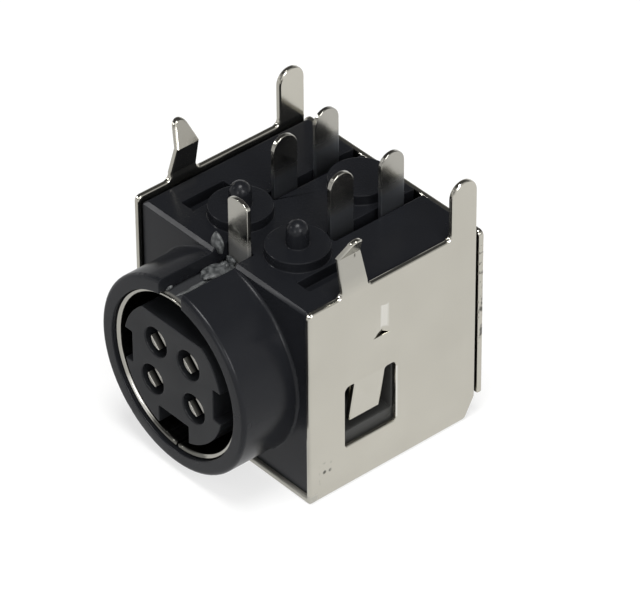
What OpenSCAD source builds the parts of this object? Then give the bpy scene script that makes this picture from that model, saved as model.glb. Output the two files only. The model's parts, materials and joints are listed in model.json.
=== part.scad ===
// Board-mounted power socket: a round keyed socket in a black moulding, held in a folded metal shell.
// Millimetres. +Z is the side that faces the circuit board, so the socket stands on its roof panel.
// The plug goes in along +Y. The origin lies under the middle of the whole part.

/* [Plug socket] */
// Inside diameter of the shield ring that takes the plug's collar
ring_d = 10.5; // [9.6:0.1:12]
// Sheet thickness of the shield ring
ring_t = 0.3; // [0.2:0.05:0.4]
// Width of the seam where the rolled ring meets itself
ring_seam = 0.16; // [0.1:0.02:0.4]
// How far the ring's front edge lies behind the barrel's mouth
ring_set = 0.26; // [0.02:0.02:0.6]
// Diameter of the keyed core inside the ring
core_d = 9.1; // [8.4:0.1:9.4]
// How far the core's face lies behind the barrel's mouth
core_set = 0.04; // [0:0.02:0.6]
// Height of the core's flat above the socket axis
core_flat = 3.62; // [3.2:0.02:4]
// Depth of the ring-shaped space round the core
groove_d = 8.6; // [7:0.1:10]
// Height of the two side keyways
side_key_h = 2.25; // [1.6:0.05:2.6]
// Depth of the two side keyways
side_key_d = 0.82; // [0.4:0.02:1]
// Width of the keyway opposite the flat
low_key_w = 2.75; // [2:0.05:3.2]
// Depth of the keyway opposite the flat
low_key_d = 1.48; // [0.8:0.02:1.6]

/* [Pin holes and terminals] */
// Diameter of a pin hole
pin_hole_d = 2; // [1.8:0.05:2.2]
// Rounding of the mouth of a pin hole
pin_hole_round = 0.1; // [0.04:0.02:0.2]
// Half the distance between the pin holes near the flat
upper_x = 1.5; // [1.4:0.05:1.7]
// Height of the pin holes near the flat above the socket axis
upper_z = 1.62; // [1.4:0.02:1.8]
// Half the distance between the pin holes near the low keyway
lower_x = 1.9; // [1.8:0.05:2.2]
// Depth of the pin holes near the low keyway below the socket axis
lower_z = 1.4; // [1.3:0.02:1.6]
// Sheet thickness of a terminal
term_t = 0.3; // [0.2:0.05:0.35]
// Outside diameter of the split sleeve that grips a pin
sleeve_d = 1.4; // [1.25:0.05:1.6]
// Width of the slit that splits a sleeve into two tines
slit_w = 0.9; // [0.3:0.05:1]
// Turn of the slit from the vertical
slit_turn = 45; // [0:5:90]
// Length of a sleeve's tines
tine_l = 5.5; // [4:0.1:6.5]
// How far the tines' tips lie behind the core's face
tip_set = 0.2; // [0.05:0.05:1]
// Length of the terminal's folded box
box_l = 2.6; // [1.5:0.1:2.8]
// Width of a terminal's board leg
term_leg_w = 1.85; // [1.2:0.05:2]
// How far a terminal's leg stands above the board face
term_leg_l = 4.2; // [3:0.05:6]
// Distance of the first row of terminal legs behind the shell's front edge
row_front = 7.2; // [6.8:0.05:7.6]
// Distance of the second row of terminal legs behind the shell's front edge
row_rear = 10.85; // [10.2:0.05:11.4]

/* [Moulding] */
// Wall of the barrel round the shield ring
barrel_wall = 1; // [0.7:0.05:1.4]
// How far the barrel stands out in front of the shell
barrel_proj = 3.9; // [2:0.1:8]
// Rounding of the barrel's front edge
barrel_round = 0.3; // [0.1:0.05:0.5]
// Fillet where the barrel meets the front face
barrel_fillet = 0.2; // [0.1:0.05:0.4]
// Width of the moulding beyond the barrel at each side
body_side = 0.95; // [0.9:0.05:3]
// Height of the moulding above the barrel
body_over = 0.15; // [0.1:0.05:3]
// Depth of the moulding from its front face to its rear face
body_d = 13; // [12.5:0.1:16]
// How far the front face lies behind the shell's front edge
body_set = 0.25; // [0.1:0.05:0.6]
// Rounding of the moulding's long edges
body_round = 0.4; // [0.3:0.05:0.8]
// Bevel along the front edge of the board face
board_bevel = 0.2; // [0.1:0.05:0.4]
// Wall of the moulding above and below the core's block
block_wall = 1; // [0.8:0.05:1.4]
// Wall of the moulding beside the core's block
block_side_wall = 1.85; // [1.6:0.05:2.4]

/* [Board side] */
// Diameter of the round pads that the board rests on
pad_d = 4; // [3:0.1:4.1]
// Height of the pads
pad_h = 0.7; // [0.3:0.05:1.2]
// Half the distance between the two front pads
pad_x = 2.6; // [2.5:0.05:2.7]
// Distance of the front pads behind the shell's front edge
pad_front = 3.8; // [3.6:0.05:4]
// Distance of the rear pad's middle from the moulding's rear face
pad_inset = 2.25; // [2.1:0.05:3]
// Diameter of the locating posts
post_d = 1.4; // [1:0.05:2]
// Height of the locating posts above their pads
post_h = 1.65; // [1.2:0.05:3]
// Width of the moulding pockets in the board face
pocket_w = 1.1; // [0.6:0.05:1.2]
// Length of the moulding pockets
pocket_l = 3.3; // [2:0.1:3.6]
// Depth of the moulding pockets
pocket_d = 0.8; // [0.3:0.05:0.9]
// Gap between the moulding pockets and the front pads
pocket_gap = 0.15; // [0.1:0.05:0.4]
// Distance of the pockets' middle behind the shell's front edge
pocket_y = 3.55; // [3.3:0.05:3.8]
// Width of the ground leg
ground_w = 1.8; // [1.2:0.05:2]
// How far the ground leg stands above the board face
ground_l = 4; // [3:0.05:6]
// Distance of the ground leg behind the shell's front edge
ground_y = 1.38; // [1:0.02:1.4]
// Inside radius of the ground leg's bend
ground_bend = 0.2; // [0.1:0.05:0.3]

/* [Shell] */
// Sheet thickness of the shell
sheet_t = 0.4; // [0.25:0.05:0.6]
// Outside radius of the shell's folds, which are pressed sharp
fold_or = 0.28; // [0.1:0.02:0.28]
// Inside radius of the shell's folds
fold_r = 0.05; // [0.02:0.01:0.1]
// How far the side walls rise past the board face
wall_lip = 0.25; // [0.1:0.05:0.6]
// Rounding of the side walls' front corners
wall_round = 0.4; // [0.2:0.05:1]
// How far the back flap stops short of the side walls' edges
flap_drop = 0.5; // [0.2:0.05:2]
// Gap between the side walls and the back flap
flap_gap = 0.2; // [0.1:0.05:0.4]
// Depth cut from the foot of each side wall at the back
foot_cut_y = 0.85; // [0.3:0.05:1.5]
// Height cut from the foot of each side wall at the back
foot_cut_z = 1.5; // [0.5:0.05:2]
// How much narrower the back flap's fold is at each side
flap_notch = 1.1; // [0.7:0.05:2]
// Width of the shell's legs
leg_w = 2; // [1.2:0.05:2.2]
// How far the rear legs stand above the side walls
leg_l = 3.8; // [3.2:0.05:6]
// Fillet at the foot of the shell's legs
leg_fillet = 0.4; // [0.1:0.05:0.45]
// Distance of the front legs' middle behind the shell's front edge
leg_front = 3.6; // [2.4:0.05:5]
// How far the front legs stand above the side walls
kink_l = 3.9; // [3.4:0.05:5]
// Height above the side wall where a front leg starts to lean in
kink_from = 0.5; // [0.45:0.05:0.8]
// Height above the side wall where a front leg turns back
kink_at = 2.45; // [1.6:0.05:2.5]
// How far a front leg leans in
kink_in = 0.5; // [0.2:0.05:0.8]
// How far the tip of a front leg stands out past the side wall
kink_out = 0.32; // [0.1:0.02:0.6]
// Width of a front leg where it turns back
kink_w = 1.75; // [1.2:0.05:1.9]
// Radius of a front leg's tip
kink_tip = 0.54; // [0.25:0.01:0.6]

/* [Latch] */
// Width of the window in each side wall
window_w = 4; // [3.4:0.05:4.4]
// Height of the window
window_h = 4.45; // [4.3:0.05:4.8]
// Distance of the window behind the shell's front edge
window_y = 2.8; // [2.4:0.05:3.2]
// Height of the window above the shell's roof
window_z = 3; // [2.7:0.05:3.3]
// Rounding of the window's upper corners
window_r = 0.35; // [0.1:0.05:0.6]
// Height of the ledge under the tongue above the window's lower edge
ledge_h = 0.75; // [0.3:0.05:0.9]
// Depth of the moulding's pocket behind the tongue
ledge_d = 1.1; // [0.9:0.05:1.2]
// Distance of the latch tongue behind the window's front edge
tongue_y = 0.72; // [0.3:0.02:0.8]
// Width of the latch tongue
tongue_w = 2.45; // [1.6:0.05:2.6]
// Length of the latch tongue
tongue_l = 3.25; // [2.4:0.05:3.4]
// How far the tongue's end is bent inwards
tongue_in = 0.55; // [0.3:0.05:0.7]
// Distance of the lanced dimple's valley behind the shell's front edge
bump_y = 5.84; // [5.2:0.02:6.2]
// Height of the dimple's sheared end above the shell's roof
bump_z = 10; // [9:0.05:10.4]
// Length of the dimple
bump_l = 2.2; // [1.4:0.05:2.6]
// How far the dimple's sheared end is pressed inwards
bump_in = 0.2; // [0.1:0.02:0.3]
// How far the dimple's upper end is pressed inwards
bump_up = 0.14; // [0.06:0.02:0.2]
// Width of the dimple's long flank, in front of its valley
bump_front = 0.87; // [0.6:0.01:1.2]
// Width of the dimple's steep flank, behind its valley
bump_rear = 0.4; // [0.3:0.02:0.6]
// Width of the dimple's valley
bump_flat = 0.02; // [0.01:0.01:0.1]
// Height of the opening that is sheared under the dimple
shear_h = 0.16; // [0.1:0.01:0.3]

/* [Clearances] */
// Radial clearance of the shield ring in the barrel
ring_gap = 0.05; // [0.02:0.01:0.15]
// Clearance of the moulding in the shell at each side
side_gap = 0.05; // [0.02:0.01:0.15]
// Clearance between the moulding and the back flap
back_gap = 0.15; // [0.05:0.05:0.4]
// Clearance between the barrel and the shell's roof
roof_gap = 0.2; // [0.02:0.01:0.3]
// Clearance of the core's block in the moulding
block_gap = 0.05; // [0.02:0.01:0.15]
// Clearance round a terminal
term_gap = 0.05; // [0.02:0.01:0.1]
// Clearance of the ground leg in its slot
ground_gap = 0.1; // [0.05:0.05:0.3]
// Clearance of the latch tongue and the dimple in the moulding
latch_gap = 0.12; // [0.05:0.01:0.3]

/* [Hidden] */
$fn = 64;
// Overshoot of a cutting shape past the face that it opens
over = 1;

// The socket, from the ring outwards
ring_or = ring_d / 2 + ring_t;
bore_r = ring_or + ring_gap;
barrel_r = bore_r + barrel_wall;
core_r = core_d / 2;
axis_z = sheet_t + roof_gap + barrel_r;
mouth_y = -barrel_proj;
face_y = mouth_y + core_set;
groove_y = mouth_y + groove_d;

// The moulding and the shell round it
body_w = 2 * (barrel_r + body_side);
board_z = axis_z + barrel_r + body_over;
body_y = body_set;
body_end = body_y + body_d;
shell_w = body_w + 2 * (side_gap + sheet_t);
wall_h = board_z + wall_lip;
flap_y = body_end + back_gap;
wall_d = flap_y - flap_gap;
flap_h = wall_h - flap_drop;
shell_d = flap_y + sheet_t;
fold_top = sheet_t + fold_r;
pocket_top = board_z - block_wall;
pocket_low = sheet_t + block_wall;
block_x = body_w / 2 - block_side_wall;
pad_rear = body_end - pad_inset;
pocket_x = pad_x + pad_d / 2 + pocket_gap;

// Terminals, from the pin hole outwards
box_h = pin_hole_d - 4 * term_gap;
plate_x = pin_hole_d / 2 + term_gap;
tip_y = face_y + tip_set;
box_y = tip_y + tine_l;

// Middle of the whole part along Y, which the frame is centred on
middle_y = (mouth_y + shell_d) / 2;

plate_colour = "#c6c3bb";
moulding_colour = "#25272a";
core_colour = "#2e3033";
terminal_colour = "#d2cec4";

// Moves a piece from the shell's front edge to the part's own frame
module placed() {
    translate([0, -middle_y, 0]) children();
}

// Extrudes an outline drawn in X and Z from y0 to y1
module along_y(y0, y1) {
    translate([0, y1, 0]) rotate([90, 0, 0]) linear_extrude(y1 - y0) children();
}

// Extrudes an outline drawn in Y and Z from x0 to x1
module along_x(x0, x1) {
    translate([x0, 0, 0]) rotate([90, 0, 90]) linear_extrude(x1 - x0) children();
}

// Turns a profile of radius and Y round the socket axis
module turned() {
    translate([0, 0, axis_z]) rotate([-90, 0, 0]) rotate_extrude() children();
}

// Draws the children on the right and their mirror image on the left
module both_sides() {
    children();
    mirror([1, 0, 0]) children();
}

// A rectangle from its low corner
module box2(x0, y0, x1, y1) {
    translate([x0, y0]) square([x1 - x0, y1 - y0]);
}

// A strip of width w from z0 up to a full-round end at z1, centred on c
module round_leg(c, w, z0, z1) {
    box2(c - w / 2, z0, c + w / 2, z1 - w / 2);
    translate([c, z1 - w / 2]) circle(d = w);
}

// The concave fillet that fills a corner at the point p, growing towards the quadrant q
module corner_fillet(p, q, r) {
    translate(p) difference() {
        box2(min(0, q[0] * r), min(0, q[1] * r), max(0, q[0] * r), max(0, q[1] * r));
        translate([q[0] * r, q[1] * r]) circle(r);
    }
}

// Lower half of a section with two rounded low corners, up to z1
module trough(w, z0, z1, r) {
    box2(-w / 2, z0 + r, w / 2, z1);
    box2(-w / 2 + r, z0, w / 2 - r, z0 + r);
    for (side = [-1, 1]) translate([side * (w / 2 - r), z0 + r]) circle(r);
}

// Section of a folded channel of outside width w: a floor and two walls up to z1
module channel(w, z1) {
    difference() {
        trough(w, 0, z1, fold_or);
        trough(w - 2 * sheet_t, sheet_t, z1 + over, fold_r);
    }
}

// Latch window in Y and Z, rounded at its upper corners
module window_outline() {
    top = window_z + window_h;
    box2(window_y, window_z, window_y + window_w, top - window_r);
    box2(window_y + window_r, window_z, window_y + window_w - window_r, top);
    for (y = [window_y + window_r, window_y + window_w - window_r])
        translate([y, top - window_r]) circle(window_r);
}

// Side wall in Y and Z, from the fold up, with its window and legs
module wall_outline() {
    rear_leg = wall_d - leg_w / 2;
    difference() {
        union() {
            box2(0, fold_top, wall_d, wall_h - wall_round);
            box2(wall_round, fold_top, wall_d, wall_h);
            translate([wall_round, wall_h - wall_round]) circle(wall_round);
            round_leg(rear_leg, leg_w, fold_top, wall_h + leg_l);
            corner_fillet([rear_leg - leg_w / 2, wall_h], [-1, 1], leg_fillet);
            for (side = [-1, 1])
                corner_fillet([leg_front + side * leg_w / 2, wall_h], [side, 1], leg_fillet);
            box2(leg_front - leg_w / 2, fold_top, leg_front + leg_w / 2, wall_h + kink_from);
        }
        window_outline();
    }
}

// Front leg above its foot: it leans in, turns out again and tapers to a round tip
module kinked_leg() {
    outer = shell_w / 2;
    inner = outer - sheet_t;
    foot = wall_h + kink_from;
    turn = wall_h + kink_at;
    top = wall_h + kink_l;
    rise = top - kink_tip - turn;
    lean = acos(kink_tip / norm([kink_w / 2, rise])) - atan2(rise, kink_w / 2);
    touch = kink_tip * [cos(lean), sin(lean)];
    intersection() {
        along_x(inner - kink_in, outer + kink_out) translate([leg_front, 0]) {
            polygon([[-leg_w / 2, foot], [leg_w / 2, foot], [kink_w / 2, turn],
                     [touch[0], turn + rise + touch[1]], [-touch[0], turn + rise + touch[1]],
                     [-kink_w / 2, turn]]);
            translate([0, turn + rise]) circle(kink_tip);
        }
        along_y(leg_front - leg_w, leg_front + leg_w)
            polygon([[inner, foot], [outer, foot], [outer - kink_in, turn], [outer + kink_out, top],
                     [inner + kink_out, top], [inner - kink_in, turn]]);
    }
}

// Latch tongue, hung from the window's upper edge and bent inwards
module tongue() {
    translate([shell_w / 2, window_y + tongue_y, window_z + window_h])
        rotate([0, asin(tongue_in / tongue_l), 0])
            translate([-sheet_t, 0, -tongue_l]) cube([sheet_t, tongue_w, tongue_l]);
}

// Slanted wedge that presses the dimple, cut level at its ends: its ridge has the width w and lies at the
// depth d below the shell's outer face, it reaches out to x1, and g makes it longer and wider
module punch(w, d, x1, g) {
    reach = bump_in + sheet_t;
    intersection() {
        translate([shell_w / 2 - d, bump_y, bump_z])
            rotate([0, atan2(bump_in - bump_up, bump_l), 0])
                translate([0, 0, -over]) linear_extrude(bump_l + 2 * over)
                    polygon([[0, -g], [0, w + g], [reach, w + g + reach * bump_rear / bump_in],
                             [reach, -g - reach * bump_front / bump_in]]);
        translate([0, 0, bump_z - g]) cube([x1, shell_d, bump_l + 2 * g]);
    }
}

// Back flap with the fold that joins it to the roof
module back_flap() {
    neck = shell_w / 2 - flap_notch;
    along_x(-neck, neck) intersection() {
        channel(2 * shell_d, flap_h - wall_round);
        box2(wall_d - over, 0, shell_d, flap_h - wall_round);
    }
    along_y(flap_y, shell_d) {
        box2(-shell_w / 2, foot_cut_z, shell_w / 2, flap_h - wall_round);
        box2(-shell_w / 2 + wall_round, foot_cut_z, shell_w / 2 - wall_round, flap_h);
        for (side = [-1, 1])
            translate([side * (shell_w / 2 - wall_round), flap_h - wall_round]) circle(wall_round);
    }
}

// Shell folded from one plated sheet: roof, two side walls with legs and latches, and back flap
module shell() {
    foot_y = wall_d - foot_cut_y;
    color(plate_colour) placed() {
        difference() {
            union() {
                along_y(0, wall_d) channel(shell_w, fold_top);
                both_sides() {
                    along_x(shell_w / 2 - sheet_t, shell_w / 2) wall_outline();
                    kinked_leg();
                    punch(bump_flat + sheet_t, bump_in + sheet_t, shell_w / 2 - sheet_t / 2, 0);
                }
            }
            both_sides() {
                along_x(shell_w / 2 - flap_notch, shell_w / 2 + over)
                    polygon([[foot_y, -over], [foot_y, 0], [wall_d, foot_cut_z],
                             [wall_d + over, foot_cut_z], [wall_d + over, -over]]);
                punch(bump_flat, bump_in, shell_w / 2 + over, 0);
                along_x(shell_w / 2 - over, shell_w / 2 + over)
                    polygon([[bump_y - bump_front / 2, bump_z], [bump_y + bump_rear, bump_z],
                             [bump_y, bump_z + shear_h]]);
            }
        }
        both_sides() tongue();
        back_flap();
    }
}

// Cross-section of the moulding, rounded along its four long edges
module body_section() {
    top = board_z - body_round;
    trough(body_w, sheet_t, top, body_round);
    box2(-body_w / 2 + body_round, top, body_w / 2 - body_round, board_z);
    for (side = [-1, 1]) translate([side * (body_w / 2 - body_round), top]) circle(body_round);
}

// Barrel with its rounded front edge and the fillet at its root
module barrel() {
    turned() {
        box2(0, mouth_y, barrel_r - barrel_round, body_y + over);
        box2(0, mouth_y + barrel_round, barrel_r, body_y + over);
        translate([barrel_r - barrel_round, mouth_y + barrel_round]) circle(barrel_round);
    }
    intersection() {
        turned() difference() {
            box2(barrel_r - over, body_y - barrel_fillet, barrel_r + barrel_fillet, body_y + over);
            translate([barrel_r + barrel_fillet, body_y - barrel_fillet]) circle(barrel_fillet);
        }
        along_y(body_y - barrel_fillet, body_y + over) body_section();
    }
}

// Pads that hold the board off the moulding, the front two with domed locating posts
module board_pads() {
    pad_top = board_z + pad_h;
    for (spot = [[-pad_x, pad_front], [pad_x, pad_front], [0, pad_rear]])
        translate([spot[0], spot[1], board_z - over]) cylinder(d = pad_d, h = pad_h + over);
    for (x = [-pad_x, pad_x]) translate([x, pad_front, pad_top - over]) {
        cylinder(d = post_d, h = post_h + over - post_d / 2);
        translate([0, 0, post_h + over - post_d / 2]) sphere(d = post_d);
    }
}

// Inner side of the slot for the plate of a terminal at x
function plate_in(x) = x + plate_x - term_t / 2 - term_gap;

// Space in which a terminal's leg rises, open to the rear, between the heights z0 and z1
module leg_slot(x, row, z0, z1) {
    along_x(plate_in(x), plate_in(x) + term_t + 2 * term_gap)
        box2(row - term_leg_w / 2 - term_gap, z0, body_end + over, z1);
}

// Pockets behind the latch window and the dimple of one side wall
module latch_pockets() {
    along_x(body_w / 2 - ledge_d, body_w / 2 + over)
        box2(window_y, window_z + ledge_h, window_y + window_w, window_z + window_h + latch_gap);
    punch(bump_flat + sheet_t, bump_in + sheet_t + latch_gap, body_w / 2 + over, latch_gap);
}

// Black moulding: body, barrel, board pads and locating posts in one piece
module housing() {
    slot = ground_w / 2 + ground_gap;
    color(moulding_colour) placed() difference() {
        union() {
            along_y(body_y, body_end) body_section();
            barrel();
            board_pads();
        }
        // Bore for the ring
        turned() box2(0, mouth_y - over, bore_r, groove_y);
        // Rear pocket for the core's block
        along_y(groove_y, body_end + over) box2(-block_x, pocket_low, block_x, pocket_top);
        // Slot that the ground leg slides along
        along_y(mouth_y - over, ground_y + ring_t + ground_gap) box2(-slot, axis_z, slot, board_z + over);
        // Bevel along the front of the board face
        along_x(-body_w / 2 - over, body_w / 2 + over)
            polygon([[body_y - over, board_z - board_bevel], [body_y, board_z - board_bevel],
                     [body_y + board_bevel, board_z], [body_y + board_bevel, board_z + over],
                     [body_y - over, board_z + over]]);
        both_sides() {
            along_x(plate_in(upper_x), plate_in(lower_x) + term_t + 2 * term_gap)
                box2(row_front - term_leg_w / 2 - term_gap, axis_z, body_end + over, board_z + over);
            latch_pockets();
            translate([pocket_x, pocket_y - pocket_l / 2, board_z - pocket_d])
                cube([pocket_w, pocket_l, pocket_d + over]);
        }
    }
}

// Pin hole, with the cavity behind it that holds the terminal's folded box
module pin_cavity(x, z) {
    hole_z = axis_z + z;
    translate([x, face_y, hole_z]) rotate([-90, 0, 0]) {
        translate([0, 0, -over]) cylinder(d = pin_hole_d, h = box_y - face_y + over);
        rotate_extrude() difference() {
            box2(0, -over, pin_hole_d / 2 + pin_hole_round, pin_hole_round);
            translate([pin_hole_d / 2 + pin_hole_round, pin_hole_round]) circle(pin_hole_round);
        }
    }
    along_y(box_y - term_gap, body_end + over)
        box2(x - box_h / 2 - term_gap, hole_z - box_h / 2, x + plate_x + term_t / 2 + term_gap,
             hole_z + box_h / 2 + term_gap);
}

// Core: keyed nose that the plug's collar goes over, on a block that closes the rear
module core() {
    half_w = block_x - block_gap;
    low = pocket_low + block_gap;
    high = pocket_top - block_gap;
    color(core_colour) placed() difference() {
        union() {
            along_y(face_y, groove_y + over) difference() {
                translate([0, axis_z]) circle(core_r);
                box2(-core_r, axis_z + core_flat, core_r, axis_z + core_r + over);
                box2(-low_key_w / 2, axis_z - core_r - over, low_key_w / 2, axis_z - core_r + low_key_d);
                for (side = [-1, 1]) translate([side * core_r, axis_z])
                    square([2 * side_key_d, side_key_h], center = true);
            }
            along_y(groove_y, body_end) box2(-half_w, low, half_w, high);
        }
        both_sides() {
            pin_cavity(upper_x, upper_z);
            pin_cavity(lower_x, -lower_z);
            leg_slot(upper_x, row_front, axis_z + upper_z, high + over);
            leg_slot(lower_x, row_rear, axis_z - lower_z, high + over);
        }
    }
}

// Rolled shield ring, with a ground leg bent up from its rear edge
module shield_ring() {
    bend_y = ground_y - ground_bend;
    top_z = axis_z + ring_or;
    leg_top = board_z + ground_l;
    color(plate_colour) placed() {
        difference() {
            turned() box2(ring_d / 2, mouth_y + ring_set, ring_or, bend_y);
            along_y(mouth_y, bend_y + over)
                box2(-ring_seam / 2, axis_z - ring_or - over, ring_seam / 2, axis_z);
        }
        along_x(-ground_w / 2, ground_w / 2) {
            box2(bend_y - ring_t, top_z - ring_t, bend_y, top_z);
            intersection() {
                translate([bend_y, top_z + ground_bend]) difference() {
                    circle(ground_bend + ring_t);
                    circle(ground_bend);
                }
                box2(bend_y, top_z - ring_t, ground_y + ring_t, top_z + ground_bend);
            }
        }
        along_y(ground_y, ground_y + ring_t) round_leg(0, ground_w, top_z + ground_bend, leg_top);
    }
}

// Sleeve that grips a pin: the front is split into two tines by a slit, turned from the vertical
module sleeve(turn) {
    difference() {
        along_y(tip_y, box_y + box_l) difference() {
            circle(d = sleeve_d);
            circle(d = sleeve_d - 2 * term_t);
        }
        rotate([0, -turn, 0]) along_y(tip_y - over, box_y) square([slit_w, 2 * sleeve_d], center = true);
    }
}

// Terminal on the right of the socket: a split sleeve, a folded box round it, and a plate with the board leg
module terminal(x, z, row, turn) {
    leg_top = board_z + term_leg_l - axis_z - z;
    half = box_h / 2;
    placed() translate([x, 0, axis_z + z]) {
        along_x(plate_x - term_t / 2, plate_x + term_t / 2) {
            box2(box_y, -half, row, half);
            round_leg(row, term_leg_w, -half, leg_top);
        }
        along_y(box_y, box_y + box_l) difference() {
            square(box_h, center = true);
            square(box_h - 2 * term_t, center = true);
        }
        sleeve(turn);
    }
}

module terminal_upper_left()
    color(terminal_colour) mirror([1, 0, 0]) terminal(upper_x, upper_z, row_front, -slit_turn);
module terminal_upper_right()
    color(terminal_colour) terminal(upper_x, upper_z, row_front, slit_turn);
module terminal_lower_left()
    color(terminal_colour) mirror([1, 0, 0]) terminal(lower_x, -lower_z, row_rear, -slit_turn);
module terminal_lower_right()
    color(terminal_colour) terminal(lower_x, -lower_z, row_rear, slit_turn);

shell();
housing();
core();
shield_ring();
terminal_upper_left();
terminal_upper_right();
terminal_lower_left();
terminal_lower_right();
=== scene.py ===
# %% [markdown]
# # A round power socket for a circuit board
# The real object is a small connector, photographed upside down: it stands on the roof of its metal shell
# and its solder legs point up. In this lesson the CAD model gives every main shape. Blender adds what a
# solid model lacks: the small radius on each edge that catches the light, the finishes, a little residue
# from soldering, the light and the camera.

import json
import math

import bmesh
import bpy
from mathutils import Matrix, Vector

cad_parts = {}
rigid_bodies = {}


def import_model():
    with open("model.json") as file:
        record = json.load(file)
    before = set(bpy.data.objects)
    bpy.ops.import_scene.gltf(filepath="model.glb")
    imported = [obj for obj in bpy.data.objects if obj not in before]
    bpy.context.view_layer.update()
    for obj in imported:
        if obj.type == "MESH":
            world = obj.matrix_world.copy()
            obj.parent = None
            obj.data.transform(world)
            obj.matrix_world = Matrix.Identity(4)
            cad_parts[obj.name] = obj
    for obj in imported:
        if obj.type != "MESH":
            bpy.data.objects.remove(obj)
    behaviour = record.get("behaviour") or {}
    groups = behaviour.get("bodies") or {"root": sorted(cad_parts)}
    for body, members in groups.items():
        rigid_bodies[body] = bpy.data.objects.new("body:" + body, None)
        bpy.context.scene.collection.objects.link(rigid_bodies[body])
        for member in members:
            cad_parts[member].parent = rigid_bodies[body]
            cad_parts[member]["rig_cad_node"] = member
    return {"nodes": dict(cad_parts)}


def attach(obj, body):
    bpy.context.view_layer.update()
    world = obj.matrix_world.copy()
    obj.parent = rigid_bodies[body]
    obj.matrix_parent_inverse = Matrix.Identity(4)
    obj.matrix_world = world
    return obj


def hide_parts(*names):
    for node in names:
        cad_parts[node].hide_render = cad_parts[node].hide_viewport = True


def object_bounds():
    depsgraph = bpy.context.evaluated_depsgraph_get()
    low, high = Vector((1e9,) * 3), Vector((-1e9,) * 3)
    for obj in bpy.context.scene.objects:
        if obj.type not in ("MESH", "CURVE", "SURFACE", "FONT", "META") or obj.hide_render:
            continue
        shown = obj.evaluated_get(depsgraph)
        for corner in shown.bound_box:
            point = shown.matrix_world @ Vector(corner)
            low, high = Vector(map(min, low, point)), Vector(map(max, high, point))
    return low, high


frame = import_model()
box_at_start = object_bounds()
MM = 0.001
size = [(high - low) / MM for low, high in zip(*box_at_start)]
print("loaded", len(frame["nodes"]), "nodes, size in mm", [round(s, 2) for s in size])

# %% [markdown]
# ## Edges that catch the light
# No stamped or moulded edge is perfectly sharp. A radius of a twentieth of a millimetre is enough to draw
# the bright lines that the eye reads as metal and plastic. The edges could be faked in the material, but
# then the mesh itself would stay sharp. So each CAD piece is copied, its loose triangles are welded into
# one closed skin, and a Bevel modifier rounds every edge that turns more than a given angle. Edges that the
# CAD model already rounds or chamfers turn less than that, and are left as they are.

# %% Weld a copy of a CAD node
WELD_DISTANCE = 0.0005 * MM
CREASE_TURN = math.radians(34)


def pick_only(piece):
    bpy.ops.object.select_all(action="DESELECT")
    piece.select_set(True)
    bpy.context.view_layer.objects.active = piece


def welded_copy(node, name):
    pick_only(frame["nodes"][node])
    bpy.ops.object.duplicate()
    piece = bpy.context.object
    piece.name = piece.data.name = name
    del piece["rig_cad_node"]
    bpy.ops.object.mode_set(mode="EDIT")
    bpy.ops.mesh.select_all(action="SELECT")
    bpy.ops.mesh.remove_doubles(threshold=WELD_DISTANCE)
    bpy.ops.object.mode_set(mode="OBJECT")
    # The creases marked here stay creases when the edges are rounded
    bpy.ops.object.shade_smooth_by_angle(angle=CREASE_TURN)
    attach(piece, "root")
    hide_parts(node)
    print(name, "copied from", node)
    return piece


# %% [markdown]
# ## Rounding that leaves flat faces flat
# A bevel weight on each edge says how much of the radius it gets. After rounding, the faces are smoothed only
# across edges that turn very little: the barrel and the domes of the posts look round, and a flat face beside
# a rounded edge stays flat instead of looking like a cushion.

# %% Round the edges of a piece
SHARP_TURN = math.radians(50)
FLAT_TURN = math.radians(14)
PLAIN_STEPS = 3


def whole_radius(point):
    return 1.0


def round_edges(piece, radius, share=whole_radius, turn=FLAT_TURN, steps=PLAIN_STEPS):
    mesh = bmesh.new()
    mesh.from_mesh(piece.data)
    weight = mesh.edges.layers.float.new("bevel_weight_edge")
    for edge in mesh.edges:
        if edge.calc_face_angle(0) > SHARP_TURN:
            edge[weight] = share((edge.verts[0].co + edge.verts[1].co) / (2 * MM))
    mesh.to_mesh(piece.data)
    mesh.free()
    pick_only(piece)
    # The copied normals belong to the unrounded faces, so they are dropped first
    bpy.ops.mesh.customdata_custom_splitnormals_clear()
    bevel = piece.modifiers.new("edge_radius", "BEVEL")
    bevel.width = radius
    bevel.segments = steps
    bevel.limit_method = "WEIGHT"
    bevel.use_clamp_overlap = False
    bevel.loop_slide = False
    bevel.miter_outer = "MITER_ARC"
    bpy.ops.object.modifier_apply(modifier=bevel.name)
    bpy.ops.object.shade_smooth_by_angle(angle=turn)
    print(piece.name, "has", len(piece.data.polygons), "faces, edge radius in mm", radius / MM)


# %% [markdown]
# ## Where the radius differs
# Two pieces have edges of more than one kind. The lip under each dimple of the shell was torn by the punch, so
# it stays sharp. The ring's inner front edge is turned out to guide a plug in, so it gets the whole radius and
# the ring's other edges only a part of it. The ring's ground leg ends in a shallow arc in the photo, and its
# round tip is pressed down to that.

# %% Say where the radius differs
LIP_Z, LIP_Y = 10.0, 0.9
LIP_HALF_Z, LIP_HALF_Y = 0.3, 1.2
RING_MOUTH_Y, RING_INSIDE, AXIS_Z = -8.5, 5.3, 7.2
PLAIN_SHARE = 0.24
TIP_FROM_Z, TIP_SHARE = 17.15, 0.5


def all_but_the_lip(point):
    in_lip = abs(point.z - LIP_Z) < LIP_HALF_Z and abs(point.y - LIP_Y) < LIP_HALF_Y
    return 0.0 if in_lip else 1.0


def mouth_most(point):
    from_axis = math.hypot(point.x, point.z - AXIS_Z)
    return 1.0 if point.y < RING_MOUTH_Y and from_axis < RING_INSIDE else PLAIN_SHARE


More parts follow.
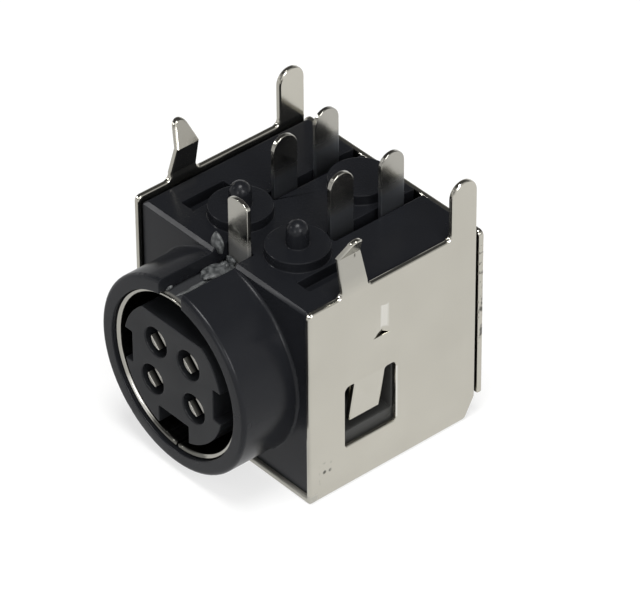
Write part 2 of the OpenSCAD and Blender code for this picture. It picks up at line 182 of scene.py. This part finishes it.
def flatten_tip(piece):
    pick_only(piece)
    bpy.ops.object.mode_set(mode="EDIT")
    bpy.ops.mesh.select_all(action="DESELECT")
    bpy.ops.object.mode_set(mode="OBJECT")
    for point in piece.data.vertices:
        point.select = point.co.z > TIP_FROM_Z * MM
    bpy.ops.object.mode_set(mode="EDIT")
    bpy.ops.transform.resize(value=(1, 1, TIP_SHARE), center_override=(0, 0, TIP_FROM_Z * MM))
    bpy.ops.object.mode_set(mode="OBJECT")


# %% [markdown]
# ## All the pieces
# The shell has the roundest edges, because thick sheet rolls over where it is sheared. The thin contacts have
# the sharpest, and the mouldings lie between. The ring's turned-out edge is wide enough to be seen as a curve.
# It has more steps and is smoothed across all of them, and weighted normals keep its wide faces straight.

# %% Copy and round every piece
SHEET_EDGE, MOULD_EDGE, CORE_EDGE = 0.13 * MM, 0.07 * MM, 0.06 * MM
RING_EDGE, CONTACT_EDGE = 0.25 * MM, 0.05 * MM
RING_TURN, RING_STEPS = math.radians(40), 6
shell = welded_copy("shell", "folded_shell")
round_edges(shell, SHEET_EDGE, all_but_the_lip)
housing = welded_copy("housing", "black_housing")
round_edges(housing, MOULD_EDGE)
core = welded_copy("core", "keyed_core")
round_edges(core, CORE_EDGE)
ring = welded_copy("shield_ring", "rolled_ring")
flatten_tip(ring)
round_edges(ring, RING_EDGE, mouth_most, RING_TURN, RING_STEPS)
ring.modifiers.new("flat_faces", "WEIGHTED_NORMAL").keep_sharp = True
bpy.ops.object.modifier_apply(modifier="flat_faces")
terminals = [name for name in frame["nodes"] if name.startswith("terminal")]
contacts = [welded_copy(name, name.replace("terminal", "contact")) for name in terminals]
for contact in contacts:
    round_edges(contact, CONTACT_EDGE)

# %% [markdown]
# ## A way to write materials
# A material is a small graph of nodes. One function adds a node, sets its values and joins its sockets, so
# that a graph reads from top to bottom. Colours are written as the hex values that a paint program shows,
# and turned to the linear values that the renderer counts in. Patterns are measured in the part's own
# millimetres, through Object coordinates, so that they stay put when the camera moves.

# %% Node and colour helpers
def linear(hex_colour):
    parts = [int(hex_colour[i : i + 2], 16) / 255 for i in (1, 3, 5)]
    return [p / 12.92 if p <= 0.04045 else ((p + 0.055) / 1.055) ** 2.4 for p in parts] + [1.0]


def add(tree, kind, sockets=None, **settings):
    made = tree.nodes.new(kind)
    for key, value in settings.items():
        setattr(made, key, value)
    for key, value in (sockets or {}).items():
        if isinstance(value, bpy.types.NodeSocket):
            tree.links.new(value, made.inputs[key])
        else:
            made.inputs[key].default_value = value
    return made


def start_material(name):
    material = bpy.data.materials.new(name)
    material.use_nodes = True
    material.node_tree.nodes.clear()
    return material, material.node_tree


def per(millimetres):
    return 1 / (millimetres * MM)


def soft_box(tree, place, middle, half, soft):
    # 1 inside a box of the given half sizes, falling to 0 over the distance soft outside it, in mm
    shift = add(tree, "ShaderNodeVectorMath", {
        0: place, 1: [c * MM for c in middle]}, operation="SUBTRACT")
    away = add(tree, "ShaderNodeVectorMath", {0: shift.outputs["Vector"]}, operation="ABSOLUTE")
    out = add(tree, "ShaderNodeVectorMath", {
        0: away.outputs["Vector"], 1: [h * MM for h in half]}, operation="SUBTRACT")
    axes = add(tree, "ShaderNodeSeparateXYZ", {"Vector": out.outputs["Vector"]})
    widest = add(tree, "ShaderNodeMath", {
        0: axes.outputs["X"], 1: axes.outputs["Y"]}, operation="MAXIMUM")
    widest = add(tree, "ShaderNodeMath", {
        0: widest.outputs["Value"], 1: axes.outputs["Z"]}, operation="MAXIMUM")
    fall = add(tree, "ShaderNodeMapRange", {
        "Value": widest.outputs["Value"], "From Min": 0.0, "From Max": soft * MM,
        "To Min": 1.0, "To Max": 0.0})
    return fall.outputs["Result"]


def broken(tree, place, mask, spacing):
    # Breaks a mask up into small specks about spacing mm apart
    speck = add(tree, "ShaderNodeTexNoise", {
        "Vector": place, "Scale": per(spacing), "Detail": 4.0, "Roughness": 0.6})
    peak = add(tree, "ShaderNodeMapRange", {
        "Value": speck.outputs["Fac"], "From Min": 0.53, "From Max": 0.62, "To Min": 0.0, "To Max": 1.0})
    specks = add(tree, "ShaderNodeMath", {0: peak.outputs["Result"], 1: mask}, operation="MULTIPLY")
    return specks.outputs["Value"]


def pitted(tree, place, mask, spacing):
    # Puts round pits into a mask, one to each cell about spacing mm wide
    cell = add(tree, "ShaderNodeTexVoronoi", {"Vector": place, "Scale": per(spacing)})
    pit = add(tree, "ShaderNodeMapRange", {
        "Value": cell.outputs["Distance"], "From Min": 0.22, "From Max": 0.42, "To Min": 1.0, "To Max": 0.0})
    pits = add(tree, "ShaderNodeMath", {0: pit.outputs["Result"], 1: mask}, operation="MULTIPLY")
    return pits.outputs["Value"]


def mark(tree, look, mask, values):
    # Turns the named values of a finish towards new ones where the mask is 1
    for key, value in values.items():
        mixed = add(tree, "ShaderNodeMix", {
            "Factor": mask, "A": look[key], "B": value},
            data_type="RGBA" if key == "Base Color" else "FLOAT")
        look[key] = mixed.outputs["Result"]


def dress(piece, material):
    piece.data.materials.clear()
    piece.data.materials.append(material)
    print(piece.name, "wears", material.name)


# %% [markdown]
# ## Nickel on steel sheet
# The shell is cold-rolled steel sheet with a dull nickel plate. Nickel is a warm grey metal, a little darker
# than silver. Rolling leaves the sheet slightly wavy, so reflections of the white table swim a little. Two
# painted highlights are lighter colour in the plate: one on the flank of the right dimple, and one along the
# rear edge of the right window. The right kinked leg is darker and duller. The wear follows from how the part
# was made and handled: the shear has left the roof's front edge rough and torn the back flap's, small pits lie
# near the lower front corner of the right wall, and the kinked leg has a scratch near its tip. Each mark is a
# mask: a soft box in the part's own millimetres, and pits, tears and scratches are broken up by a pattern.

# %% Make the nickel plate
# Each box has its middle, its half sizes and the width of its soft border, in mm
# The first two boxes are painted highlights: the dimple's flank and the window's rear edge are painted lighter
PAINTED_HIGHLIGHT_ON_DIMPLE = ((7.9, 0.98, 11.3), (0.5, 0.16, 0.75), 0.16)
PAINTED_HIGHLIGHT_ON_WINDOW_EDGE = ((8.0, 1.89, 5.15), (0.15, 0.03, 1.9), 0.06)
KINKED_LEG = ((7.8, -1.35, 16.2), (0.8, 1.2, 0.9), 1.2)
ROOF_EDGE = ((0.0, -4.8, 0.25), (8.2, 0.3, 0.3), 0.15)
WALL_CORNER = ((8.0, -3.75, 2.0), (0.3, 0.25, 0.5), 0.3)
FLAP_EDGE = ((8.1, 8.65, 9.0), (0.15, 0.25, 4.0), 0.05)
LEG_TIP = ((7.6, -0.75, 16.65), (0.8, 0.3, 0.2), 0.15)
PIT_SPACING, TEAR_SPACING, SCRATCH_SPACING = 0.4, 0.5, 0.22
plate, tree = start_material("nickel_plated_steel_rolled")
place = add(tree, "ShaderNodeTexCoord").outputs["Object"]
tone = add(tree, "ShaderNodeTexNoise", {"Vector": place, "Scale": per(4), "Detail": 3.0})
tint = add(tree, "ShaderNodeValToRGB", {"Fac": tone.outputs["Fac"]})
tint.color_ramp.elements[0].position = 0.3
tint.color_ramp.elements[0].color = linear("#b6b3a9")
tint.color_ramp.elements[1].position = 0.75
tint.color_ramp.elements[1].color = linear("#bbb8ae")
grain = add(tree, "ShaderNodeTexNoise", {"Vector": place, "Scale": per(0.25), "Detail": 4.0})
gloss = add(tree, "ShaderNodeMapRange", {"Value": grain.outputs["Fac"], "To Min": 0.11, "To Max": 0.19})
wave = add(tree, "ShaderNodeTexNoise", {"Vector": place, "Scale": per(2.5), "Detail": 1.0})
relief = add(tree, "ShaderNodeBump", {
    "Height": wave.outputs["Fac"], "Strength": 0.06, "Distance": 0.05 * MM})
look = {"Base Color": tint.outputs["Color"], "Roughness": gloss.outputs["Result"], "Metallic": 1.0}
# Painted highlight: the flank of the right dimple is painted lighter
mark(tree, look, soft_box(tree, place, *PAINTED_HIGHLIGHT_ON_DIMPLE), {"Base Color": linear("#d0cec7")})
# Painted highlight: the rear edge of the right window is painted lighter
mark(tree, look, soft_box(tree, place, *PAINTED_HIGHLIGHT_ON_WINDOW_EDGE), {"Base Color": linear("#d2d0c9")})
mark(tree, look, soft_box(tree, place, *KINKED_LEG), {"Base Color": linear("#a8a69e"), "Roughness": 0.24})
mark(tree, look, soft_box(tree, place, *ROOF_EDGE), {"Base Color": linear("#b5b3ab"), "Roughness": 0.55})
pits = pitted(tree, place, soft_box(tree, place, *WALL_CORNER), PIT_SPACING)
torn = broken(tree, place, soft_box(tree, place, *FLAP_EDGE), TEAR_SPACING)
scratch = broken(tree, place, soft_box(tree, place, *LEG_TIP), SCRATCH_SPACING)
marks = add(tree, "ShaderNodeMath", {0: pits, 1: torn}, operation="MAXIMUM")
marks = add(tree, "ShaderNodeMath", {0: marks.outputs["Value"], 1: scratch}, operation="MAXIMUM")
mark(tree, look, marks.outputs["Value"], {"Base Color": linear("#5c5a54")})
dent = add(tree, "ShaderNodeBump", {
    "Height": marks.outputs["Value"], "Normal": relief.outputs["Normal"], "Strength": 0.5,
    "Distance": 0.03 * MM}, invert=True)
metal = add(tree, "ShaderNodeBsdfPrincipled", look | {"Normal": dent.outputs["Normal"]})
add(tree, "ShaderNodeOutputMaterial", {"Surface": metal.outputs["BSDF"]})
dress(shell, plate)

# %% [markdown]
# ## Black moulding
# The body is a glass-filled polyester, injection moulded in a steel tool. Such plastic is not quite black:
# it is a very dark grey with a slight blue cast, smooth enough to mirror the table faintly, with a fine
# uneven skin where the glass fibres lie near the surface. In the pockets behind the windows it is painted
# paler, as painted light where the light reaches in. The core is the same plastic from another tool, a little
# duller.

# %% Make the black plastics
def moulded(name, colour, dull, painted_light_boxes):
    material, tree = start_material(name)
    place = add(tree, "ShaderNodeTexCoord").outputs["Object"]
    skin = add(tree, "ShaderNodeTexNoise", {"Vector": place, "Scale": per(0.12), "Detail": 3.0})
    cloud = add(tree, "ShaderNodeTexNoise", {"Vector": place, "Scale": per(3), "Detail": 4.0})
    gloss = add(tree, "ShaderNodeMapRange", {
        "Value": cloud.outputs["Fac"], "To Min": dull - 0.06, "To Max": dull + 0.08})
    relief = add(tree, "ShaderNodeBump", {
        "Height": skin.outputs["Fac"], "Strength": 0.15, "Distance": 0.01 * MM})
    look = {"Base Color": linear(colour), "Roughness": gloss.outputs["Result"]}
    # Painted light: each of these boxes is painted paler and rougher
    for box in painted_light_boxes:
        mark(tree, look, soft_box(tree, place, *box), {
            "Base Color": linear("#3a3a39"), "Roughness": 0.4})
    plastic = add(tree, "ShaderNodeBsdfPrincipled", look | {
        "Specular IOR Level": 0.16, "Normal": relief.outputs["Normal"]})
    add(tree, "ShaderNodeOutputMaterial", {"Surface": plastic.outputs["BSDF"]})
    return material


# Painted light: the window pockets are painted paler where light reaches in
PAINTED_LIGHT_IN_POCKETS = [((side * 7.1, 0.0, 5.2), (0.75, 2.3, 3.0), 0.2) for side in (-1, 1)]
black = moulded("black_polyester_moulded", "#18191c", 0.24, PAINTED_LIGHT_IN_POCKETS)
dress(housing, black)
dark = moulded("black_polyester_core", "#1a1b1d", 0.3, [])
dress(core, dark)

# %% [markdown]
# ## Bright tin and the ring
# The legs are copper alloy with bright tin, and the ring is steel with bright nickel. Both are smoother than
# the shell, so they mirror their surroundings: the black board face in their lower halves, the white table
# in their upper halves. Where they have been soldered or rubbed they are duller. Inside the holes of the core
# the tin is painted dark as painted shade, and the ring's lip has painted shade by its seam and a painted
# highlight at its lower left. Each such mark has a box, a colour, a roughness, and a share of bare metal that
# is less than 1 under a film of flux.

# %% Make the bright plates
def bright(name, colour, dull, marks):
    material, tree = start_material(name)
    place = add(tree, "ShaderNodeTexCoord").outputs["Object"]
    wave = add(tree, "ShaderNodeTexNoise", {"Vector": place, "Scale": per(0.8), "Detail": 2.0})
    gloss = add(tree, "ShaderNodeMapRange", {
        "Value": wave.outputs["Fac"], "To Min": dull - 0.04, "To Max": dull + 0.04})
    relief = add(tree, "ShaderNodeBump", {
        "Height": wave.outputs["Fac"], "Strength": 0.2, "Distance": 0.03 * MM})
    look = {"Base Color": linear(colour), "Roughness": gloss.outputs["Result"], "Metallic": 1.0}
    # Some marks are stains, and some are painted shade and painted highlights
    for box, stain_and_painted_light, rough, bare in marks:
        mark(tree, look, soft_box(tree, place, *box), {
            "Base Color": linear(stain_and_painted_light), "Roughness": rough, "Metallic": bare})
    metal = add(tree, "ShaderNodeBsdfPrincipled", look | {"Normal": relief.outputs["Normal"]})
    add(tree, "ShaderNodeOutputMaterial", {"Surface": metal.outputs["BSDF"]})
    return material


# Painted shade: the tin inside the holes is painted dark
PAINTED_SHADE_IN_HOLES = ((0, -6.0, 7.2), (4.0, 3.0, 4.0), 0.5)
SLEEVE_TIPS = ((0, -8.6, 7.2), (4.0, 0.2, 4.0), 0.25)
LEG_FEET = ((0, 4.0, 14.4), (4.0, 3.0, 0.9), 1.1)
SLOT_FLOOR = ((0, -6.2, 13.0), (1.2, 2.0, 1.0), 0.3)
FLUXED_LEG = ((0, -3.5, 13.4), (1.2, 0.5, 0.6), 1.1)
# Painted shade: the ring's lip by its seam is painted darker
PAINTED_SHADE_BY_SEAM = ((0.2, -8.5, 1.9), (2.35, 0.2, 0.5), 0.3)
# Painted highlight: the ring's lip at the lower left is painted lighter
PAINTED_HIGHLIGHT_ON_LIP = ((-3.7, -8.5, 3.4), (0.75, 0.2, 0.75), 0.4)
tin = bright("bright_tin_on_copper_alloy", "#a6a49d", 0.17, [
    # The box inside the holes paints shade
    (PAINTED_SHADE_IN_HOLES, "#45443f", 0.35, 1.0), (SLEEVE_TIPS, "#adaba4", 0.5, 1.0),
    (LEG_FEET, "#7c7f84", 0.4, 1.0)])
for contact in contacts:
    dress(contact, tin)
nickel = bright("bright_nickel_on_steel", "#b3b1a9", 0.14, [
    (SLOT_FLOOR, "#343537", 0.4, 0.1), (FLUXED_LEG, "#636362", 0.4, 0.15),
    # The last two boxes paint shade by the seam and a highlight on the lip
    (PAINTED_SHADE_BY_SEAM, "#6f6e69", 0.2, 1.0), (PAINTED_HIGHLIGHT_ON_LIP, "#dedcd5", 0.14, 1.0)])
dress(ring, nickel)

# %% [markdown]
# ## Dried flux
# The photographed part has been tried on a board, and flux has dried on it. It is a grey crust, half glassy
# and half dusty, darker where it is thick and clear and paler where it has crumbled.

# %% Make the flux
flux, tree = start_material("dried_flux_crust")
place = add(tree, "ShaderNodeTexCoord").outputs["Object"]
crumb = add(tree, "ShaderNodeTexNoise", {"Vector": place, "Scale": per(0.35), "Detail": 5.0})
grey = add(tree, "ShaderNodeValToRGB", {"Fac": crumb.outputs["Fac"]})
grey.color_ramp.elements[0].position = 0.38
grey.color_ramp.elements[0].color = linear("#2c2e2f")
grey.color_ramp.elements[1].position = 0.66
grey.color_ramp.elements[1].color = linear("#5e6060")
crust = add(tree, "ShaderNodeBump", {
    "Height": crumb.outputs["Fac"], "Strength": 0.5, "Distance": 0.08 * MM})
glassy = add(tree, "ShaderNodeBsdfPrincipled", {
    "Base Color": grey.outputs["Color"], "Roughness": 0.45, "Normal": crust.outputs["Normal"]})
add(tree, "ShaderNodeOutputMaterial", {"Surface": glassy.outputs["BSDF"]})
print(flux.name, "is ready")

# %% [markdown]
# ## Residue round the ground leg
# The crust lies round the foot of the ground leg and in the slot in front of it. Each lump starts as a ball, is
# shaken at two scales, first coarsely for its lobes and then finely for its crust, and is drawn out to its
# size. It is sunk a little into what it lies on, as a dried drop is.

# %% Model the lumps of flux
LOBES, CRUMBS, ROUNDED = 0.22 * MM, 0.04 * MM, 0.5
# Each lump has its middle and its half sizes, in mm
LUMPS = {
    "flux_by_the_leg": ((-1.12, -4.2, 14.1), (0.5, 0.25, 0.7)),
    "flux_at_the_foot": ((-0.4, -3.75, 13.0), (0.4, 0.2, 0.25)),
    "flux_under_the_leg": ((-0.35, -4.3, 12.85), (0.35, 0.3, 0.28)),
    "flux_in_the_slot": ((-0.4, -4.95, 12.8), (0.65, 1.15, 0.25)),
    "flux_along_the_edge": ((-0.12, -6.85, 12.75), (0.16, 1.4, 0.06)),
    "flux_at_the_mouth": ((-0.97, -8.05, 12.8), (0.1, 0.25, 0.12)),
}
for seed, (name, (middle, half)) in enumerate(LUMPS.items()):
    bpy.ops.object.select_all(action="DESELECT")
    bpy.ops.mesh.primitive_ico_sphere_add(subdivisions=2, radius=MM, location=(0, 0, 0))
    lump = bpy.context.object
    lump.name = lump.data.name = name
    bpy.ops.object.mode_set(mode="EDIT")
    bpy.ops.mesh.select_all(action="SELECT")
    bpy.ops.transform.vertex_random(offset=LOBES, normal=ROUNDED, seed=seed)
    bpy.ops.mesh.subdivide(number_cuts=2, smoothness=1.0)
    bpy.ops.transform.vertex_random(offset=CRUMBS, normal=ROUNDED, seed=seed)
    bpy.ops.transform.resize(value=half, center_override=(0, 0, 0))
    bpy.ops.transform.translate(value=Vector(middle) * MM)
    bpy.ops.mesh.normals_make_consistent(inside=False)
    bpy.ops.object.mode_set(mode="OBJECT")
    bpy.ops.object.shade_smooth()
    lump.data.materials.append(flux)
    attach(lump, "root")
    print(name, "has", len(lump.data.polygons), "faces")

# %% [markdown]
# ## White table
# The photo was taken on white with soft light: the table is the largest light of all, since the metal
# mirrors it. It is matt paper. It shines a little by itself to the camera, so that the shadow stays faint, and
# in mirrors it is darker at the left front, away from the light.

# %% Make the table
TABLE_SIDE = 3.0
MIRROR_LEFT, LEFT_AT, RIGHT_AT = 0.64, -18 * MM, 8 * MM
GLOW_CAMERA, GLOW_MIRROR = 0.65, 0.8
bpy.ops.object.select_all(action="DESELECT")
bpy.ops.mesh.primitive_plane_add(size=TABLE_SIDE, location=(0, 0, 0))
table = bpy.context.object
table.name = "white_table"
bpy.ops.object.mode_set(mode="EDIT")
bpy.ops.mesh.subdivide(number_cuts=3)
bpy.ops.object.mode_set(mode="OBJECT")
paper, tree = start_material("matt_white_paper")
matt = add(tree, "ShaderNodeBsdfDiffuse", {"Color": linear("#f6f6f5")})
rays = add(tree, "ShaderNodeLightPath")
place = add(tree, "ShaderNodeTexCoord").outputs["Object"]
axes = add(tree, "ShaderNodeSeparateXYZ", {"Vector": place})
toward_light = add(tree, "ShaderNodeMath", {
    0: axes.outputs["X"], 1: axes.outputs["Y"]}, operation="ADD")
mirrored = add(tree, "ShaderNodeMapRange", {
    "Value": toward_light.outputs["Value"], "From Min": LEFT_AT, "From Max": RIGHT_AT,
    "To Min": MIRROR_LEFT, "To Max": 1.0})
strength = add(tree, "ShaderNodeMix", {
    "Factor": rays.outputs["Is Camera Ray"], "A": mirrored.outputs["Result"], "B": 1.0}, data_type="FLOAT")
glow = add(tree, "ShaderNodeEmission", {"Strength": strength.outputs["Result"]})
to_camera = add(tree, "ShaderNodeMath", {
    0: rays.outputs["Is Camera Ray"], 1: GLOW_CAMERA}, operation="MULTIPLY")
to_mirror = add(tree, "ShaderNodeMath", {
    0: rays.outputs["Is Glossy Ray"], 1: GLOW_MIRROR}, operation="MULTIPLY")
share = add(tree, "ShaderNodeMath", {
    0: to_camera.outputs["Value"], 1: to_mirror.outputs["Value"]}, operation="MAXIMUM")
mixed = add(tree, "ShaderNodeMixShader", {
    "Fac": share.outputs["Value"], 1: matt.outputs["BSDF"], 2: glow.outputs["Emission"]})
add(tree, "ShaderNodeOutputMaterial", {"Surface": mixed.outputs["Shader"]})
table.data.materials.append(paper)
print("table ready")

# %% [markdown]
# ## Dark room
# The room is lit low all round, on the right and behind the camera, and dark above and on the left, which keeps
# the board face black. The camera itself sees plain white behind the table.

# %% Make the room
LOW_SKY, HIGH_SKY = 1.0, 0.08
RIGHT_SKY, FRONT_SKY = 0.7, 1.0
FRONT_WAY = (0.55, -0.55, 0.63)
world = bpy.data.worlds.new("studio")
bpy.context.scene.world = world
world.use_nodes = True
tree = world.node_tree
tree.nodes.clear()
rays = add(tree, "ShaderNodeLightPath")
way = add(tree, "ShaderNodeTexCoord").outputs["Generated"]
height = add(tree, "ShaderNodeSeparateXYZ", {"Vector": way})
room = add(tree, "ShaderNodeMapRange", {
    "Value": height.outputs["Z"], "From Min": 0.02, "From Max": 0.45, "To Min": LOW_SKY, "To Max": HIGH_SKY})
side = add(tree, "ShaderNodeMapRange", {
    "Value": height.outputs["X"], "From Min": 0.25, "From Max": 0.7, "To Min": 0.0, "To Max": RIGHT_SKY},
    interpolation_type="SMOOTHSTEP")
toward = add(tree, "ShaderNodeVectorMath", {0: way, 1: FRONT_WAY}, operation="DOT_PRODUCT")
front = add(tree, "ShaderNodeMapRange", {
    "Value": toward.outputs["Value"], "From Min": 0.6, "From Max": 0.95, "To Min": 0.0, "To Max": FRONT_SKY},
    interpolation_type="SMOOTHSTEP")
lit = add(tree, "ShaderNodeMath", {
    0: room.outputs["Result"], 1: side.outputs["Result"]}, operation="MAXIMUM")
lit = add(tree, "ShaderNodeMath", {
    0: lit.outputs["Value"], 1: front.outputs["Result"]}, operation="MAXIMUM")
seen = add(tree, "ShaderNodeMix", {
    "Factor": rays.outputs["Is Camera Ray"], "A": lit.outputs["Value"], "B": 1.0}, data_type="FLOAT")
glow = add(tree, "ShaderNodeBackground", {"Color": (1, 1, 1, 1), "Strength": seen.outputs["Result"]})
add(tree, "ShaderNodeOutputWorld", {"Surface": glow.outputs["Background"]})
print("room ready")

# %% [markdown]
# ## Lamps
# One large lamp hangs overhead and a weaker one stands on the right. One in front lights the ring's rounded
# edge, and a small one at the left front draws the glints. Each has a place and an aim in metres, a width and
# a power.

# %% Hang the lamps
def soft_lamp(name, place, aim, width, power):
    bpy.ops.object.light_add(type="AREA", location=place)
    lamp = bpy.context.object
    lamp.name = name
    lamp.data.shape = "DISK"
    lamp.data.size = width
    lamp.data.energy = power
    lamp.rotation_mode = "QUATERNION"
    lamp.rotation_quaternion = (Vector(place) - Vector(aim)).to_track_quat("Z", "Y")
    return lamp


FOOT, WAIST = (0, 0, 0), (0, 0, 0.008)
lamps = [
    soft_lamp("overhead_lamp", (0.07, -0.06, 0.75), FOOT, width=0.36, power=4.5),
    soft_lamp("right_lamp", (0.6, -0.1, 0.36), WAIST, width=0.3, power=1.7),
    soft_lamp("front_lamp", (0.22, -0.5, 0.22), WAIST, width=0.2, power=0.4),
    soft_lamp("left_front_lamp", (-0.36, -0.37, 0.31), WAIST, width=0.06, power=0.25),
]
print([lamp.name for lamp in lamps])

# %% [markdown]
# ## Camera
# The straight edges of the shell gave the photo's angle and its long lens: where parallel edges meet, and how
# slowly they do, fixes the direction and the focal length. The focal length was found in pixels of the photo's
# width, and is turned into the millimetres of a sensor here.

# %% Set the camera at the photo's angle
AZIMUTH, ELEVATION, ROLL = 49.19, 37.45, -0.40
FOCAL_PIXELS, PHOTO_PIXELS, SENSOR_WIDTH = 5290, 640, 36
CAMERA_AWAY = 0.32
azimuth, elevation, roll = (math.radians(v) for v in (AZIMUTH, ELEVATION, ROLL))
aim = Vector((0, 2.80, 6.70)) * MM
back = Vector((math.sin(azimuth) * math.cos(elevation), -math.cos(azimuth) * math.cos(elevation),
               math.sin(elevation)))
right = (-back).cross(Vector((0, 0, 1))).normalized()
up = right.cross(-back)
right, up = right * math.cos(roll) + up * math.sin(roll), up * math.cos(roll) - right * math.sin(roll)
lens = bpy.data.cameras.new("photo_camera")
lens.sensor_width = SENSOR_WIDTH
lens.sensor_fit = "HORIZONTAL"
lens.lens = SENSOR_WIDTH * FOCAL_PIXELS / PHOTO_PIXELS
lens.clip_start, lens.clip_end = 0.01, 10
camera = bpy.data.objects.new("photo_camera", lens)
bpy.context.scene.collection.objects.link(camera)
turned = Matrix((right, up, back)).transposed().to_4x4()
camera.matrix_world = Matrix.Translation(aim + back * CAMERA_AWAY) @ turned
bpy.context.scene.camera = camera
bpy.context.scene.view_settings.view_transform = "Standard"
print("camera", [round(v / MM, 1) for v in camera.location])
